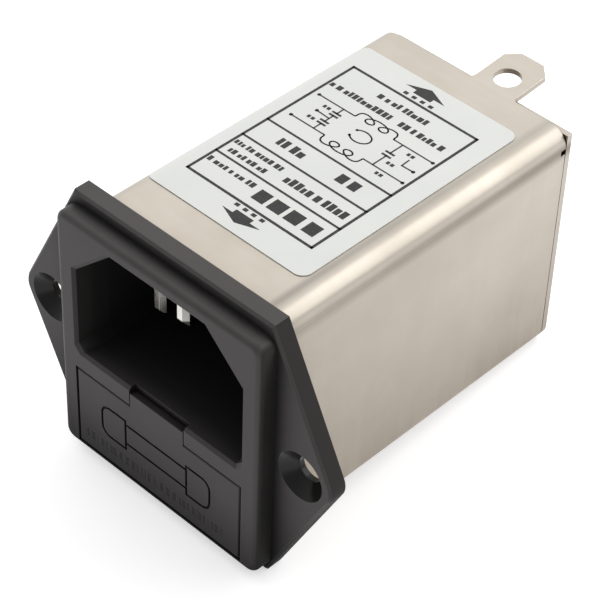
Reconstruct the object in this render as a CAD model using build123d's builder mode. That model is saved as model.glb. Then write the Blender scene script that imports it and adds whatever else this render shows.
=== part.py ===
"""Mains line filter with a fused three-pin appliance inlet. All sizes in millimetres.

x runs to the right, y runs from the front into the panel, z runs up.
The origin is midway between the two screw holes, on the back face of the flange.
"""

import os
from math import cos, radians, sin

from build123d import *

os.makedirs("parts", exist_ok=True)

# Flange and screw ears
hole_pitch = 40.0
screw_hole_d = 3.3
countersink_d = 6.5
ear_r = 2.65
ear_tip = 4.5
flange_t = 2.36
flange_h = 37.6
flange_edge = 0.3
flange_step = 0.575

# Raised bezel on the flange
bezel_proud = 2.36
bezel_side = 2.8
bezel_h = 35.0
bezel_mid_z = -0.23
bezel_corner_r = 1.5
bezel_round = 0.8

# Recess for the appliance plug
recess_draft = 0.575
recess_h = 17.55
recess_mid_z = 6.49
recess_lip = 0.38
recess_chamfer_w = 5.82
recess_chamfer_h = 5.47
recess_foot = 0.92
recess_inner_w = 25.25
recess_inner_h = 16.95
recess_depth = 16.5
cup_wall = 0.7
cup_back = 1.2

# Pins
pin_spacing = 14.0
pin_w = 2.0
pin_h = 4.0
pin_tip = 0.6
live_pin_z = 5.3
live_pin_back = 6.8
earth_pin_z = 10.1
earth_pin_back = 3.7

# Fuse drawer and its bay
drawer_over = 0.35
drawer_h = 11.8
drawer_mid_z = -10.88
drawer_face_t = 2.4
drawer_gap = 0.15
drawer_edge = 0.25
tab_w = 8.6
tab_rise = 1.95
tab_t = 0.87
tray_inset = 1.65
tray_h = 7.7
tray_wall = 0.8
tray_fit = 0.2
tray_rise = 1.12
tray_rear_wall = 0.4
bay_floor = 0.96
bay_rear_wall = 1.0
bay_corner_r = 2.4
leaf_room = 1.15

# Fuse sign cut into the drawer's face
sign_line = 0.35
sign_depth = 0.2
sign_left_x = -7.2
sign_left_w = 4.3
sign_cap_z = -10.3
sign_cap_h = 4.9
sign_body_z = -10.1
sign_body_h = 3.0
sign_right_x = 6.7
sign_right_w = 4.1
sign_corner_r = 1.5

# Cartridge fuse
fuse_end_gap = 1.8
fuse_d = 5.2
fuse_cap_len = 5.0
fuse_cap_t = 0.2
fuse_bore_d = 3.9
fuse_wire_d = 0.3
fuse_y = 10.0
fuse_seat = 0.05

# Spring contacts behind the fuse
contact_w = 3.0
contact_t = 0.4
contact_inset = 2.0
contact_h = 5.0
contact_gap = 0.25

# Can
can_mid_x = 0.56
can_len = 47.1
can_edge_r = 2.45
cover_t = 0.7
side_t = 0.45
rear_t = 0.8
rear_seam = 0.12
relief = 0.8
can_fit = 0.1
cup_room = 1.3
collar_len = 6.0
inner_corner_r = 3.0

# Earth lug on the cover
lug_w = 6.35
lug_mid_x = 3.53
lug_len = 6.43
lug_root = 0.1
lug_root_r = 0.6
lug_angle = 4.0
lug_hole_d = 3.5
lug_hole_from_root = 1.8
lug_corner = 1.5

# Label film
label_t = 0.1
label_front = 5.92
label_rear = 41.57
label_left_gap = 1.0
label_right_gap = 3.35
label_corner_r = 1.4

# Inner card and the parts on it
board_t = 1.2
board_margin = 1.2
post_d = 3.0
post_z = 2.0
post_inset = 2.8
choke_d = 19.0
choke_bore_d = 8.0
choke_t = 9.2
choke_top_gap = 0.5
case_wall = 0.8
wire_layer = 0.9
winding_arc = 130.0
divider_t = 1.1
divider_gap = 0.1
x_cap_side_room = 4.9
x_cap_top_gap = 0.4
x_cap_len = 13.5
x_cap_edge = 0.6
y_cap_d = 6.8
y_cap_t = 2.4
y_cap_drop = 0.4
cap_lead_d = 0.6
cap_lead_pitch = 4.0
cap_lead_len = 1.0
cap_side_gap = 0.9
resistor_d = 2.2
resistor_len = 6.5
resistor_side_gap = 2.4
resistor_rise = 2.5
lead_d = 1.4
lead_top_gap = 2.2
lead_side_gap = 2.0
lead_run_past = 0.8
lead_last_run = 2.0
lead_bend_r = 1.8

# Strap, liner and output terminals
strap_w = 5.0
strap_t = 0.5
strap_below_pin = 1.0
liner_t = 0.2
liner_gap = 0.1
liner_front_gap = 0.5
block_w = 16.6
block_h = 8.6
block_depth = 5.0
block_rim = 1.2
block_rim_t = 1.4
block_fit = 0.2
tab_spacing = 10.0
blade_w = 6.3
blade_t = 0.8
blade_out = 8.2
blade_tail = 1.5
blade_hole_d = 1.6
blade_hole_from_end = 3.2
blade_corner = 1.2

# How far a cut is carried past the piece that it trims
cut_past = 1.0

# Widths that follow from the recess for the plug
recess_w = recess_inner_w + 2 * recess_draft
bezel_w = recess_w + 2 * bezel_side
flange_top_w = bezel_w - 2 * flange_step
cup_w = recess_inner_w + 2 * cup_wall
can_w = cup_w + 2 * (can_mid_x + can_fit + side_t)
plug_w = can_w - 2 * (side_t + can_fit)
drawer_w = recess_w + drawer_over
tray_w = recess_inner_w - tray_inset
fuse_len = tray_w - 2 * fuse_end_gap
contact_x = fuse_len / 2 - contact_inset
post_x = cup_w / 2 - post_inset
x_cap_w = plug_w - 2 * x_cap_side_room

# Heights of the can above the recess and below the drawer bay
drawer_top_z = drawer_mid_z + drawer_h / 2
tray_mid_z = drawer_mid_z + tray_rise
bay_w = tray_w + 2 * tray_fit
bay_h = tray_h + 2 * tray_fit
can_top_z = recess_mid_z + recess_inner_h / 2 + cup_wall + cup_room + can_fit + cover_t
can_bottom_z = tray_mid_z - bay_h / 2 - bay_floor - can_fit - side_t
can_left_x = can_mid_x - can_w / 2
can_right_x = can_mid_x + can_w / 2
seam_z = can_top_z - can_edge_r
cover_under_z = can_top_z - cover_t
plug_top_z = cover_under_z - can_fit
plug_bottom_z = can_bottom_z + side_t + can_fit
plug_h = plug_top_z - plug_bottom_z
plug_mid_z = (plug_top_z + plug_bottom_z) / 2

# Places along the depth, from the front face to the rear plate
front_y = -(flange_t + bezel_proud)
face_back_y = front_y + drawer_face_t
recess_end_y = front_y + recess_depth
cup_end_y = recess_end_y + cup_back
tray_end_y = fuse_y + fuse_d / 2 + tray_rear_wall
leaf_y = fuse_y + fuse_d / 2 + contact_gap
bay_end_y = leaf_y + contact_t + leaf_room
board_y = bay_end_y + bay_rear_wall
board_back_y = board_y + board_t
winding_end_y = board_back_y + 2 * wire_layer + choke_t
rear_in_y = can_len - rear_t

# Corner points of the recess, mouth size first, then the size past the flange
mouth_x = recess_w / 2
mouth_top = recess_mid_z + recess_h / 2
mouth_bottom = recess_mid_z - recess_h / 2
lip_points = [
    (-mouth_x - recess_lip, mouth_bottom - recess_lip + recess_foot),
    (-mouth_x - recess_lip + recess_foot, mouth_bottom - recess_lip),
    (mouth_x + recess_lip - recess_foot, mouth_bottom - recess_lip),
    (mouth_x + recess_lip, mouth_bottom - recess_lip + recess_foot),
    (mouth_x + recess_lip, mouth_top + recess_lip - recess_chamfer_h),
    (mouth_x + recess_lip - recess_chamfer_w, mouth_top + recess_lip),
    (-mouth_x - recess_lip + recess_chamfer_w, mouth_top + recess_lip),
    (-mouth_x - recess_lip, mouth_top + recess_lip - recess_chamfer_h),
]
mouth_points = [
    (-mouth_x, mouth_bottom + recess_foot),
    (-mouth_x + recess_foot, mouth_bottom),
    (mouth_x - recess_foot, mouth_bottom),
    (mouth_x, mouth_bottom + recess_foot),
    (mouth_x, mouth_top - recess_chamfer_h),
    (mouth_x - recess_chamfer_w, mouth_top),
    (-mouth_x + recess_chamfer_w, mouth_top),
    (-mouth_x, mouth_top - recess_chamfer_h),
]
inner_x = recess_inner_w / 2
inner_top = recess_mid_z + recess_inner_h / 2
inner_bottom = recess_mid_z - recess_inner_h / 2
inner_points = [
    (-inner_x, inner_bottom + recess_foot),
    (-inner_x + recess_foot, inner_bottom),
    (inner_x - recess_foot, inner_bottom),
    (inner_x, inner_bottom + recess_foot),
    (inner_x, inner_top - recess_chamfer_h),
    (inner_x - recess_chamfer_w, inner_top),
    (-inner_x + recess_chamfer_w, inner_top),
    (-inner_x, inner_top - recess_chamfer_h),
]
cup_points = [
    (-inner_x - cup_wall, inner_bottom - cup_wall),
    (inner_x + cup_wall, inner_bottom - cup_wall),
    (inner_x + cup_wall, inner_top + cup_wall - recess_chamfer_h),
    (inner_x + cup_wall - recess_chamfer_w, inner_top + cup_wall),
    (-inner_x - cup_wall + recess_chamfer_w, inner_top + cup_wall),
    (-inner_x - cup_wall, inner_top + cup_wall - recess_chamfer_h),
]

# Inlet moulding: flange with ears, bezel, recess, drawer bay and the plug for the can's mouth
with BuildPart() as inlet_housing:
    with BuildSketch(Plane.XZ):
        Rectangle(flange_top_w, flange_h)
        with Locations((-hole_pitch / 2 - ear_tip + ear_r, 0), (hole_pitch / 2 + ear_tip - ear_r, 0)):
            Circle(ear_r)
        make_hull()
    extrude(amount=flange_t)
    chamfer(inlet_housing.edges().group_by(Axis.Y)[0], length=flange_edge)
    with BuildSketch(Plane.XZ.offset(flange_t)):
        with Locations((0, bezel_mid_z)):
            RectangleRounded(bezel_w, bezel_h, bezel_corner_r)
    extrude(amount=bezel_proud)
    fillet(inlet_housing.edges().group_by(Axis.Y)[0], radius=bezel_round)
    with BuildSketch(Plane.XZ):
        with Locations((can_mid_x, plug_mid_z)):
            RectangleRounded(plug_w, plug_h, inner_corner_r)
    extrude(amount=-collar_len)
    with BuildSketch(Plane.XZ):
        Polygon(*cup_points, align=None)
    extrude(amount=-cup_end_y)
    with BuildSketch(Plane.XZ):
        with Locations((0, (plug_bottom_z + inner_bottom + cup_wall) / 2)):
            RectangleRounded(cup_w, inner_bottom + cup_wall - plug_bottom_z, bay_corner_r)
    extrude(amount=-board_y)
    with BuildSketch(Plane.XZ.offset(-cup_end_y)):
        with Locations((-post_x, post_z), (post_x, post_z)):
            Circle(post_d / 2)
    extrude(amount=-(board_y - cup_end_y))
    with BuildSketch(Plane.XZ.offset(-front_y)):
        Polygon(*lip_points, align=None)
    with BuildSketch(Plane.XZ.offset(-front_y - recess_lip)):
        Polygon(*mouth_points, align=None)
    loft(mode=Mode.SUBTRACT)
    with BuildSketch(Plane.XZ.offset(-front_y - recess_lip)):
        Polygon(*mouth_points, align=None)
    with BuildSketch(Plane.XZ):
        Polygon(*inner_points, align=None)
    loft(mode=Mode.SUBTRACT)
    with BuildSketch(Plane.XZ):
        Polygon(*inner_points, align=None)
    extrude(amount=-recess_end_y, mode=Mode.SUBTRACT)
    with BuildSketch(Plane.XZ.offset(-recess_end_y)):
        with Locations((-pin_spacing / 2, live_pin_z), (pin_spacing / 2, live_pin_z), (0, earth_pin_z)):
            Rectangle(pin_w, pin_h)
    extrude(amount=-cup_back, mode=Mode.SUBTRACT)
    with BuildSketch(Plane.XZ.offset(-face_back_y)):
        with Locations((0, drawer_mid_z)):
            Rectangle(drawer_w + 2 * drawer_gap, drawer_h + 2 * drawer_gap)
    extrude(amount=drawer_face_t, mode=Mode.SUBTRACT)
    with BuildSketch(Plane.XZ.offset(-front_y)):
        with Locations((0, drawer_top_z + tab_rise)):
            Rectangle(tab_w + 2 * drawer_gap, 2 * tab_rise)
    extrude(amount=-(tab_t + drawer_gap), mode=Mode.SUBTRACT)
    with BuildSketch(Plane.XZ.offset(-face_back_y)):
        with Locations((0, tray_mid_z)):
            Rectangle(bay_w, bay_h)
    extrude(amount=-(bay_end_y - face_back_y), mode=Mode.SUBTRACT)
    with BuildSketch(Plane.XZ.offset(-bay_end_y)):
        with Locations((-contact_x, tray_mid_z - contact_h / 2), (contact_x, tray_mid_z - contact_h / 2)):
            Rectangle(contact_w, contact_t)
    extrude(amount=-bay_rear_wall, mode=Mode.SUBTRACT)
    with BuildSketch(Plane.XZ.offset(flange_t)):
        with Locations((-hole_pitch / 2, 0), (hole_pitch / 2, 0)):
            Circle(countersink_d / 2)
    extrude(amount=-(countersink_d - screw_hole_d) / 2, taper=45, mode=Mode.SUBTRACT)
    with BuildSketch(Plane.XZ):
        with Locations((-hole_pitch / 2, 0), (hole_pitch / 2, 0)):
            Circle(screw_hole_d / 2)
    extrude(amount=flange_t, mode=Mode.SUBTRACT)
inlet_housing.part.label = "inlet_housing"
export_step(inlet_housing.part, "parts/inlet_housing.step")

# Fuse drawer: face with pull tab and fuse sign, tray with a spare bin and the fuse cradle
cradle_y = fuse_y - fuse_d / 2 - tray_wall
sign_body_left = sign_left_x + sign_left_w / 2
sign_body_right = sign_right_x - sign_right_w / 2
sign_body_x = (sign_body_left + sign_body_right) / 2
sign_body_w = sign_body_right - sign_body_left
with BuildPart() as fuse_drawer:
    with BuildSketch(Plane.XZ.offset(-face_back_y)):
        with Locations((0, drawer_mid_z)):
            Rectangle(drawer_w, drawer_h)
    extrude(amount=drawer_face_t)
    chamfer(fuse_drawer.edges().group_by(Axis.Y)[0], length=drawer_edge)
    with BuildSketch(Plane.XZ.offset(-front_y - tab_t)):
        with Locations((0, drawer_top_z + tab_rise / 2 - drawer_edge)):
            Rectangle(tab_w, tab_rise + 2 * drawer_edge)
    extrude(amount=tab_t)
    with BuildSketch(Plane.XZ.offset(-face_back_y)):
        with Locations((0, tray_mid_z)):
            Rectangle(tray_w, tray_h)
    extrude(amount=-(tray_end_y - face_back_y))
    with BuildSketch(Plane.XY.offset(tray_mid_z - tray_h / 2 + tray_wall)):
        with Locations((0, (face_back_y + cradle_y) / 2)):
            Rectangle(fuse_len + 2 * tray_fit, cradle_y - face_back_y - 2 * tray_wall)
    extrude(amount=tray_h, mode=Mode.SUBTRACT)
    with BuildSketch(Plane.XY.offset(tray_mid_z)):
        with Locations((0, (cradle_y + tray_wall + tray_end_y) / 2 - fuse_seat)):
            Rectangle(fuse_len + 2 * fuse_seat, tray_end_y - cradle_y - tray_wall + 2 * fuse_seat)
    extrude(amount=tray_h, mode=Mode.SUBTRACT)
    with BuildSketch(Plane.YZ.offset(-fuse_len / 2 - fuse_seat)):
        with Locations((fuse_y, tray_mid_z)):
            Circle(fuse_d / 2 + fuse_seat)
    extrude(amount=fuse_len + 2 * fuse_seat, mode=Mode.SUBTRACT)
    with BuildSketch(Plane.XY.offset(tray_mid_z - contact_h / 2 - contact_t)):
        with Locations((-contact_x, tray_end_y), (contact_x, tray_end_y)):
            Rectangle(contact_w + 2 * tray_fit, fuse_d / 2)
    extrude(amount=tray_h, mode=Mode.SUBTRACT)
    with BuildSketch(Plane.XZ.offset(-front_y - sign_depth)):
        with BuildSketch() as sign_left:
            with Locations((sign_left_x, sign_cap_z)):
                Rectangle(sign_left_w, sign_cap_h)
            fillet(sign_left.vertices().group_by(Axis.X)[0], radius=sign_corner_r)
            offset(amount=-sign_line, mode=Mode.SUBTRACT)
        with BuildSketch() as sign_right:
            with Locations((sign_right_x, sign_cap_z)):
                Rectangle(sign_right_w, sign_cap_h)
            fillet(sign_right.vertices().group_by(Axis.X)[-1], radius=sign_corner_r)
            offset(amount=-sign_line, mode=Mode.SUBTRACT)
        with Locations((sign_body_x, sign_body_z)):
            with GridLocations(0, sign_body_h, 1, 2):
                Rectangle(sign_body_w, sign_line)
    extrude(amount=sign_depth, mode=Mode.SUBTRACT)
fuse_drawer.part.label = "fuse_drawer"
export_step(fuse_drawer.part, "parts/fuse_drawer.step")

# Cartridge fuse: glass tube, two end caps and the fuse wire
with BuildPart() as fuse_tube:
    with BuildSketch(Plane.YZ.offset(-fuse_len / 2 + fuse_cap_t)):
        with Locations((fuse_y, tray_mid_z)):
            Circle(fuse_d / 2 - fuse_cap_t)
            Circle(fuse_bore_d / 2, mode=Mode.SUBTRACT)
    extrude(amount=fuse_len - 2 * fuse_cap_t)
fuse_tube.part.label = "fuse_tube"
export_step(fuse_tube.part, "parts/fuse_tube.step")

with BuildPart() as fuse_cap_left:
    with BuildSketch(Plane.YZ.offset(-fuse_len / 2)):
        with Locations((fuse_y, tray_mid_z)):
            Circle(fuse_d / 2)
    extrude(amount=fuse_cap_len)
    with BuildSketch(Plane.YZ.offset(-fuse_len / 2 + fuse_cap_t)):
        with Locations((fuse_y, tray_mid_z)):
            Circle(fuse_d / 2 - fuse_cap_t)
    extrude(amount=fuse_cap_len, mode=Mode.SUBTRACT)
fuse_cap_left.part.label = "fuse_cap_left"
export_step(fuse_cap_left.part, "parts/fuse_cap_left.step")

with BuildPart() as fuse_cap_right:
    with BuildSketch(Plane.YZ.offset(fuse_len / 2 - fuse_cap_len)):
        with Locations((fuse_y, tray_mid_z)):
            Circle(fuse_d / 2)
    extrude(amount=fuse_cap_len)
    with BuildSketch(Plane.YZ.offset(fuse_len / 2 - fuse_cap_len)):
        with Locations((fuse_y, tray_mid_z)):
            Circle(fuse_d / 2 - fuse_cap_t)
    extrude(amount=fuse_cap_len - fuse_cap_t, mode=Mode.SUBTRACT)
fuse_cap_right.part.label = "fuse_cap_right"
export_step(fuse_cap_right.part, "parts/fuse_cap_right.step")

with BuildPart() as fuse_wire:
    with BuildSketch(Plane.YZ.offset(-fuse_len / 2 + fuse_cap_t)):
        with Locations((fuse_y, tray_mid_z)):
            Circle(fuse_wire_d / 2)
    extrude(amount=fuse_len - 2 * fuse_cap_t)
fuse_wire.part.label = "fuse_wire"
export_step(fuse_wire.part, "parts/fuse_wire.step")

# Spring contacts: a leaf behind each fuse cap and a leg through the bay's rear wall
leaf_bottom_z = tray_mid_z - contact_h / 2
with BuildPart() as fuse_contact_left:
    with BuildSketch(Plane.YZ.offset(-contact_x - contact_w / 2)):
        with Locations((leaf_y + contact_t / 2, tray_mid_z)):
            Rectangle(contact_t, contact_h)
        with Locations(((leaf_y + board_y) / 2, leaf_bottom_z)):
            Rectangle(board_y - leaf_y, contact_t)
    extrude(amount=contact_w)
fuse_contact_left.part.label = "fuse_contact_left"
export_step(fuse_contact_left.part, "parts/fuse_contact_left.step")

with BuildPart() as fuse_contact_right:
    with BuildSketch(Plane.YZ.offset(contact_x - contact_w / 2)):
        with Locations((leaf_y + contact_t / 2, tray_mid_z)):
            Rectangle(contact_t, contact_h)
        with Locations(((leaf_y + board_y) / 2, leaf_bottom_z)):
            Rectangle(board_y - leaf_y, contact_t)
    extrude(amount=contact_w)
fuse_contact_right.part.label = "fuse_contact_right"
export_step(fuse_contact_right.part, "parts/fuse_contact_right.step")

# Pins: flat blades with bevelled tips, held in the recess's end wall and soldered to the card
with BuildPart() as line_pin:
    with BuildSketch(Plane.XZ.offset(-board_back_y)):
        with Locations((-pin_spacing / 2, live_pin_z)):
            Rectangle(pin_w, pin_h)
    extrude(amount=board_back_y - front_y - live_pin_back)
    chamfer(line_pin.edges().group_by(Axis.Y)[0], length=pin_tip)
line_pin.part.label = "line_pin"
export_step(line_pin.part, "parts/line_pin.step")

with BuildPart() as neutral_pin:
    with BuildSketch(Plane.XZ.offset(-board_back_y)):
        with Locations((pin_spacing / 2, live_pin_z)):
            Rectangle(pin_w, pin_h)
    extrude(amount=board_back_y - front_y - live_pin_back)
    chamfer(neutral_pin.edges().group_by(Axis.Y)[0], length=pin_tip)
neutral_pin.part.label = "neutral_pin"
export_step(neutral_pin.part, "parts/neutral_pin.step")

with BuildPart() as earth_pin:
    with BuildSketch(Plane.XZ.offset(-board_back_y)):
        with Locations((0, earth_pin_z)):
            Rectangle(pin_w, pin_h)
    extrude(amount=board_back_y - front_y - earth_pin_back)
    chamfer(earth_pin.edges().group_by(Axis.Y)[0], length=pin_tip)
earth_pin.part.label = "earth_pin"
export_step(earth_pin.part, "parts/earth_pin.step")

# Can body: bottom and two sides folded from one sheet, butting on the flange
can_h = can_top_z - can_bottom_z
can_mid_z = (can_top_z + can_bottom_z) / 2
body_len = rear_in_y - rear_seam
with BuildPart() as can_body:
    with BuildSketch(Plane.XZ.offset(-body_len)):
        with Locations((can_mid_x, can_mid_z)):
            RectangleRounded(can_w, can_h, can_edge_r)
            RectangleRounded(can_w - 2 * side_t, can_h - 2 * side_t, can_edge_r - side_t, mode=Mode.SUBTRACT)
        with Locations((can_mid_x, seam_z + can_edge_r)):
            Rectangle(can_w + cut_past, 2 * can_edge_r, mode=Mode.SUBTRACT)
    extrude(amount=body_len)
    with BuildSketch(Plane.YZ.offset(can_left_x - cut_past)):
        with Locations((body_len, seam_z)):
            Rectangle(2 * relief, 2 * relief)
    extrude(amount=can_w + 2 * cut_past, mode=Mode.SUBTRACT)
can_body.part.label = "can_body"
export_step(can_body.part, "parts/can_body.step")

# Can cover: top sheet with rolled long edges and the earth lug bent up at its rear
lug_plane = Plane(
    origin=(lug_mid_x, can_len + lug_root, cover_under_z),
    x_dir=(1, 0, 0),
    z_dir=(0, -sin(radians(lug_angle)), cos(radians(lug_angle))),
)
with BuildPart() as can_cover:
    with BuildSketch(Plane.XZ.offset(-body_len)):
        with Locations((can_mid_x, can_mid_z)):
            RectangleRounded(can_w, can_h, can_edge_r)
            RectangleRounded(can_w - 2 * cover_t, can_h - 2 * cover_t, can_edge_r - cover_t, mode=Mode.SUBTRACT)
        with Locations((can_mid_x, can_bottom_z + (seam_z - can_bottom_z) / 2)):
            Rectangle(can_w + cut_past, seam_z - can_bottom_z, mode=Mode.SUBTRACT)
    extrude(amount=body_len)
    with BuildSketch(Plane.XY.offset(cover_under_z)):
        with Locations((lug_mid_x, (body_len + can_len + lug_root) / 2)):
            Rectangle(lug_w, can_len + lug_root - body_len + can_fit)
    extrude(amount=cover_t)
    upright_edges = can_cover.edges().filter_by(Axis.Z)
    root_corners = upright_edges.filter_by_position(Axis.Y, body_len - can_fit, body_len + can_fit)
    fillet(root_corners, radius=lug_root_r)
    with BuildSketch(lug_plane) as lug_outline:
        with Locations((0, lug_len / 2)):
            Rectangle(lug_w, lug_len)
        chamfer(lug_outline.vertices().group_by(Axis.Y)[-1], length=lug_corner)
    extrude(amount=cover_t)
    with BuildSketch(lug_plane):
        with Locations((0, lug_hole_from_root)):
            Circle(lug_hole_d / 2)
    extrude(amount=cover_t, mode=Mode.SUBTRACT)
can_cover.part.label = "can_cover"
export_step(can_cover.part, "parts/can_cover.step")

# Rear plate: one square top corner, the other corners rounded, window for the terminal block
with BuildPart() as rear_plate:
    with BuildSketch(Plane.XZ.offset(-rear_in_y)):
        with Locations((can_mid_x, (can_bottom_z + cover_under_z) / 2)):
            Rectangle(can_w, cover_under_z - can_bottom_z)
    extrude(amount=-rear_t)
    fillet(rear_plate.edges().filter_by(Axis.Y).sort_by(Axis.Z)[:2], radius=can_edge_r)
    fillet(rear_plate.edges().filter_by(Axis.Y).group_by(Axis.Z)[-1].sort_by(Axis.X)[0], radius=can_edge_r)
    with BuildSketch(Plane.XZ.offset(-rear_in_y)):
        with Locations((can_mid_x, 0)):
            Rectangle(block_w + 2 * block_fit, block_h + 2 * block_fit)
    extrude(amount=-rear_t, mode=Mode.SUBTRACT)
rear_plate.part.label = "rear_plate"
export_step(rear_plate.part, "parts/rear_plate.step")

# Label film: on the cover and over its left rolled edge, with rounded corners
label_left_x = can_left_x + label_left_gap
label_right_x = can_right_x - label_right_gap
with BuildPart() as label:
    with BuildSketch(Plane.XZ.offset(-label_rear)):
        with Locations((can_mid_x, can_mid_z)):
            RectangleRounded(can_w + 2 * label_t, can_h + 2 * label_t, can_edge_r + label_t)
            RectangleRounded(can_w, can_h, can_edge_r, mode=Mode.SUBTRACT)
        with Locations(((label_left_x + label_right_x) / 2, can_top_z)):
            Rectangle(label_right_x - label_left_x, 2 * can_edge_r, mode=Mode.INTERSECT)
    extrude(amount=label_rear - label_front)
    with BuildSketch(Plane.XY.offset(can_top_z - can_edge_r)):
        with Locations(((label_left_x + label_right_x) / 2, (label_front + label_rear) / 2)):
            RectangleRounded(label_right_x - label_left_x, label_rear - label_front, label_corner_r)
    extrude(amount=2 * can_edge_r, mode=Mode.INTERSECT)
label.part.label = "label"
export_step(label.part, "parts/label.step")

# Inner card: stands on the bay's rear wall and two posts, the pins pass through it
board_w = plug_w - 2 * board_margin
board_h = plug_h - 2 * board_margin
with BuildPart() as inner_board:
    with BuildSketch(Plane.XZ.offset(-board_y)):
        with Locations((can_mid_x, plug_mid_z)):
            Rectangle(board_w, board_h)
        with Locations((-pin_spacing / 2, live_pin_z), (pin_spacing / 2, live_pin_z), (0, earth_pin_z)):
            Rectangle(pin_w, pin_h, mode=Mode.SUBTRACT)
    extrude(amount=-board_t)
inner_board.part.label = "inner_board"
export_step(inner_board.part, "parts/inner_board.step")

# Choke: ring core in a two-shell case, a winding on each side and a divider between them
choke_y = board_back_y + wire_layer
choke_z = plug_top_z - choke_top_gap - wire_layer - choke_d / 2
with BuildPart() as choke_core:
    with BuildSketch(Plane.XZ.offset(-(choke_y + case_wall))):
        with Locations((can_mid_x, choke_z)):
            Circle(choke_d / 2 - case_wall)
            Circle(choke_bore_d / 2 + case_wall, mode=Mode.SUBTRACT)
    extrude(amount=-(choke_t - 2 * case_wall))
choke_core.part.label = "choke_core"
export_step(choke_core.part, "parts/choke_core.step")

with BuildPart() as choke_case:
    with BuildSketch(Plane.XZ.offset(-choke_y)):
        with Locations((can_mid_x, choke_z)):
            Circle(choke_d / 2)
            Circle(choke_bore_d / 2, mode=Mode.SUBTRACT)
    extrude(amount=-choke_t)
    with BuildSketch(Plane.XZ.offset(-(choke_y + case_wall))):
        with Locations((can_mid_x, choke_z)):
            Circle(choke_d / 2 - case_wall)
            Circle(choke_bore_d / 2 + case_wall, mode=Mode.SUBTRACT)
    extrude(amount=-(choke_t - 2 * case_wall), mode=Mode.SUBTRACT)
choke_case.part.label = "choke_case"
export_step(choke_case.part, "parts/choke_case.step")

choke_axis = Axis((can_mid_x, 0, choke_z), (0, 1, 0))
half_arc = radians(winding_arc / 2)
ring_mid_r = (choke_d + choke_bore_d) / 4
ring_w = (choke_d - choke_bore_d) / 2
line_plane = Plane(
    origin=(can_mid_x, choke_y + choke_t / 2, choke_z),
    x_dir=(-cos(half_arc), 0, -sin(half_arc)),
    z_dir=(sin(half_arc), 0, -cos(half_arc)),
)
with BuildPart() as choke_winding_line:
    with BuildSketch(line_plane):
        with Locations((ring_mid_r, 0)):
            Rectangle(ring_w + 2 * wire_layer, choke_t + 2 * wire_layer)
            Rectangle(ring_w, choke_t, mode=Mode.SUBTRACT)
    revolve(axis=choke_axis, revolution_arc=winding_arc)
choke_winding_line.part.label = "choke_winding_line"
export_step(choke_winding_line.part, "parts/choke_winding_line.step")

neutral_plane = Plane(
    origin=(can_mid_x, choke_y + choke_t / 2, choke_z),
    x_dir=(cos(half_arc), 0, sin(half_arc)),
    z_dir=(-sin(half_arc), 0, cos(half_arc)),
)
with BuildPart() as choke_winding_neutral:
    with BuildSketch(neutral_plane):
        with Locations((ring_mid_r, 0)):
            Rectangle(ring_w + 2 * wire_layer, choke_t + 2 * wire_layer)
            Rectangle(ring_w, choke_t, mode=Mode.SUBTRACT)
    revolve(axis=choke_axis, revolution_arc=winding_arc)
choke_winding_neutral.part.label = "choke_winding_neutral"
export_step(choke_winding_neutral.part, "parts/choke_winding_neutral.step")

with BuildPart() as choke_divider:
    with BuildSketch(Plane.XZ.offset(-choke_y)):
        with Locations((can_mid_x, choke_z)):
            Rectangle(divider_t, choke_bore_d - 2 * divider_gap)
    extrude(amount=-choke_t)
choke_divider.part.label = "choke_divider"
export_step(choke_divider.part, "parts/choke_divider.step")

# Capacitors and the bleeder resistor on the card
x_cap_bottom_z = plug_bottom_z + board_margin
x_cap_top_z = choke_z - choke_d / 2 - wire_layer - x_cap_top_gap
with BuildPart() as x_capacitor:
    with BuildSketch(Plane.XZ.offset(-board_back_y)):
        with Locations((can_mid_x, (x_cap_bottom_z + x_cap_top_z) / 2)):
            RectangleRounded(x_cap_w, x_cap_top_z - x_cap_bottom_z, x_cap_edge)
    extrude(amount=-x_cap_len)
x_capacitor.part.label = "x_capacitor"
export_step(x_capacitor.part, "parts/x_capacitor.step")

y_cap_z = choke_z - choke_d / 2 - y_cap_drop
y_cap_y = board_back_y + y_cap_d / 2 + cap_lead_len
y_cap_left_x = can_mid_x - plug_w / 2 + cap_side_gap
y_cap_right_x = can_mid_x + plug_w / 2 - cap_side_gap - y_cap_t
with BuildPart() as y_capacitor_line:
    with BuildSketch(Plane.YZ.offset(y_cap_left_x)):
        with Locations((y_cap_y, y_cap_z)):
            Circle(y_cap_d / 2)
    extrude(amount=y_cap_t)
    with BuildSketch(Plane.XZ.offset(-board_back_y)):
        with Locations((y_cap_left_x + y_cap_t / 2, y_cap_z)):
            with GridLocations(0, cap_lead_pitch, 1, 2):
                Circle(cap_lead_d / 2)
    extrude(amount=-y_cap_d / 2)
y_capacitor_line.part.label = "y_capacitor_line"
export_step(y_capacitor_line.part, "parts/y_capacitor_line.step")

with BuildPart() as y_capacitor_neutral:
    with BuildSketch(Plane.YZ.offset(y_cap_right_x)):
        with Locations((y_cap_y, y_cap_z)):
            Circle(y_cap_d / 2)
    extrude(amount=y_cap_t)
    with BuildSketch(Plane.XZ.offset(-board_back_y)):
        with Locations((y_cap_right_x + y_cap_t / 2, y_cap_z)):
            with GridLocations(0, cap_lead_pitch, 1, 2):
                Circle(cap_lead_d / 2)
    extrude(amount=-y_cap_d / 2)
y_capacitor_neutral.part.label = "y_capacitor_neutral"
export_step(y_capacitor_neutral.part, "parts/y_capacitor_neutral.step")

resistor_x = can_mid_x - plug_w / 2 + resistor_side_gap
with BuildPart() as bleeder_resistor:
    with BuildSketch(Plane.XZ.offset(-board_back_y)):
        with Locations((resistor_x, plug_bottom_z + resistor_rise)):
            Circle(resistor_d / 2)
    extrude(amount=-resistor_len)
bleeder_resistor.part.label = "bleeder_resistor"
export_step(bleeder_resistor.part, "parts/bleeder_resistor.step")

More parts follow.
